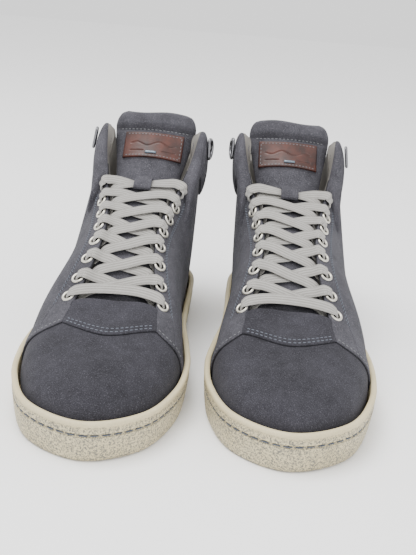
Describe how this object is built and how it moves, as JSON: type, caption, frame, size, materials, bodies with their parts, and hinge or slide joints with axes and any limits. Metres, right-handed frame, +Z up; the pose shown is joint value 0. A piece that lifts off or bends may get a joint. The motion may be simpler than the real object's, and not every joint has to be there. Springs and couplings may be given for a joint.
{
  "type": "high-top shoes",
  "caption": "Pair of suede high-top lace-up sneakers with rubber cup soles, padded collars, hinged tongues and swinging D-rings.",
  "frame": {"origin": "middle of the ground under the pair, at the bottom centre of the overall box", "axes": "toes towards -Y, heels towards +Y, +X towards the left shoe, +Z up"},
  "size_m": [0.2273, 0.3109, 0.1552],
  "materials": {
    "suede": "matte napped suede",
    "toe_suede": "matte napped suede, darker",
    "sole_rubber": "matte stippled, grey speckle",
    "stitch_thread": "twisted thread",
    "foam": "matte foam",
    "board": "matte fibreboard",
    "lining_leather": "smooth lining leather",
    "eyelet_metal": "satin cream-silver",
    "ring_metal": "gunmetal plated wire",
    "bar_metal": "satin blue-grey",
    "label_leather": "semi-gloss embossed leather",
    "lace_cotton": "flat woven cotton"
  },
  "bodies": {
    "right_shoe": {"right_outsole": "sole_rubber", "right_sidewall_stitch": "stitch_thread", "right_midsole": "foam", "right_insole_board": "board", "right_insole": "lining_leather", "right_lining": "lining_leather", "right_toe_puff": "board", "right_heel_counter": "board", "right_toe_panel": "toe_suede", "right_vamp_overlay": "toe_suede", "right_quarter_lateral": "suede", "right_quarter_medial": "suede", "right_eyestay_lateral": "suede", "right_eyestay_medial": "suede", "right_eyelet_row_lateral": "eyelet_metal", "right_eyelet_row_medial": "eyelet_metal", "right_heel_patch": "suede", "right_heel_collar": "suede", "right_collar_lateral": "suede", "right_collar_medial": "suede", "right_collar_lining": "lining_leather", "right_tongue_base": "suede", "right_lace_keeper": "suede", "right_lace": "lace_cotton"},
    "right_tongue": {"right_tongue_top": "suede", "right_tongue_label": "label_leather", "right_label_bar": "bar_metal"},
    "right_ring_lateral": {"right_d_ring_lateral": "ring_metal"},
    "right_ring_medial": {"right_d_ring_medial": "ring_metal"},
    "left_shoe": {"left_outsole": "sole_rubber", "left_sidewall_stitch": "stitch_thread", "left_midsole": "foam", "left_insole_board": "board", "left_insole": "lining_leather", "left_lining": "lining_leather", "left_toe_puff": "board", "left_heel_counter": "board", "left_toe_panel": "toe_suede", "left_vamp_overlay": "toe_suede", "left_quarter_lateral": "suede", "left_quarter_medial": "suede", "left_eyestay_lateral": "suede", "left_eyestay_medial": "suede", "left_eyelet_row_lateral": "eyelet_metal", "left_eyelet_row_medial": "eyelet_metal", "left_heel_patch": "suede", "left_heel_collar": "suede", "left_collar_lateral": "suede", "left_collar_medial": "suede", "left_collar_lining": "lining_leather", "left_tongue_base": "suede", "left_lace_keeper": "suede", "left_lace": "lace_cotton"},
    "left_tongue": {"left_tongue_top": "suede", "left_tongue_label": "label_leather", "left_label_bar": "bar_metal"},
    "left_ring_lateral": {"left_d_ring_lateral": "ring_metal"},
    "left_ring_medial": {"left_d_ring_medial": "ring_metal"}
  },
  "joints": [
    {"name": "pair_spacing", "type": "slide", "parent": "right_shoe", "child": "left_shoe", "axis": [1, 0, 0], "range_m": [0, 0.3]},
    {"name": "right_tongue_flop", "type": "hinge", "parent": "right_shoe", "child": "right_tongue", "pos_m": [-0.04958, 0.04591, 0.10793], "axis": [0.999, -0.0436, 0], "range_deg": [-22, 6], "stiffness_Nm_per_rad": 0.3},
    {"name": "right_ring_lateral_swing", "type": "hinge", "parent": "right_shoe", "child": "right_ring_lateral", "pos_m": [-0.08808, 0.06524, 0.13469], "axis": [0.1597, 0.0103, 0.9871], "range_deg": [0, 70]},
    {"name": "right_ring_medial_swing", "type": "hinge", "parent": "right_shoe", "child": "right_ring_medial", "pos_m": [-0.00703, 0.06134, 0.1339], "axis": [0.0282, -0.006, -0.9996], "range_deg": [0, 70]},
    {"name": "left_tongue_flop", "type": "hinge", "parent": "left_shoe", "child": "left_tongue", "pos_m": [0.05225, 0.05309, 0.10793], "axis": [0.9999, -0.0105, 0], "range_deg": [-22, 6], "stiffness_Nm_per_rad": 0.3},
    {"name": "left_ring_lateral_swing", "type": "hinge", "parent": "left_shoe", "child": "left_ring_lateral", "pos_m": [0.09175, 0.07031, 0.13469], "axis": [0.1589, -0.0189, -0.9871], "range_deg": [0, 70]},
    {"name": "left_ring_medial_swing", "type": "hinge", "parent": "left_shoe", "child": "left_ring_medial", "pos_m": [0.01061, 0.0708, 0.1339], "axis": [0.0284, 0.0044, 0.9996], "range_deg": [0, 70]}
  ]
}
